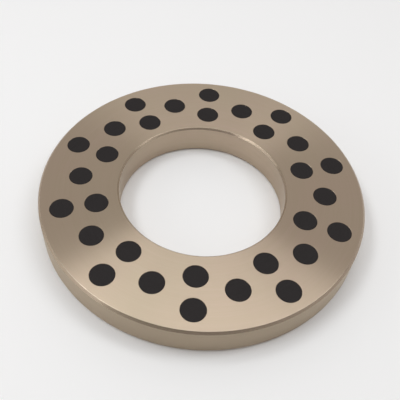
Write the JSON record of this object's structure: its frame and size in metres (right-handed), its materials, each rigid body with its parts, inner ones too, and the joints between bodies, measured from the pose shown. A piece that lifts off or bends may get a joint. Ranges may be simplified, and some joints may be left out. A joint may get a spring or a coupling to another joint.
{
  "type": "self-lubricating thrust washer",
  "caption": "Flat bronze thrust washer with a plain bore, broken edges and staggered rows of flush graphite plugs that lubricate both sliding faces.",
  "frame": {"origin": "on the washer's axis, in its lower sliding face", "axes": "+Z along the axis, out of the upper sliding face; -Y through a plug of the outer row and a plug of the inner row"},
  "size_m": [0.14, 0.14, 0.014],
  "materials": {
    "bronze": "satin",
    "graphite": "matte"
  },
  "bodies": {
    "root": {"washer_ring": "bronze", "outer_row_plug_01": "graphite", "outer_row_plug_02": "graphite", "outer_row_plug_03": "graphite", "outer_row_plug_04": "graphite", "outer_row_plug_05": "graphite", "outer_row_plug_06": "graphite", "outer_row_plug_07": "graphite", "outer_row_plug_08": "graphite", "outer_row_plug_09": "graphite", "outer_row_plug_10": "graphite", "middle_row_plug_01": "graphite", "middle_row_plug_02": "graphite", "middle_row_plug_03": "graphite", "middle_row_plug_04": "graphite", "middle_row_plug_05": "graphite", "middle_row_plug_06": "graphite", "middle_row_plug_07": "graphite", "middle_row_plug_08": "graphite", "middle_row_plug_09": "graphite", "middle_row_plug_10": "graphite", "inner_row_plug_01": "graphite", "inner_row_plug_02": "graphite", "inner_row_plug_03": "graphite", "inner_row_plug_04": "graphite", "inner_row_plug_05": "graphite", "inner_row_plug_06": "graphite", "inner_row_plug_07": "graphite", "inner_row_plug_08": "graphite", "inner_row_plug_09": "graphite", "inner_row_plug_10": "graphite"}
  },
  "joints": []
}
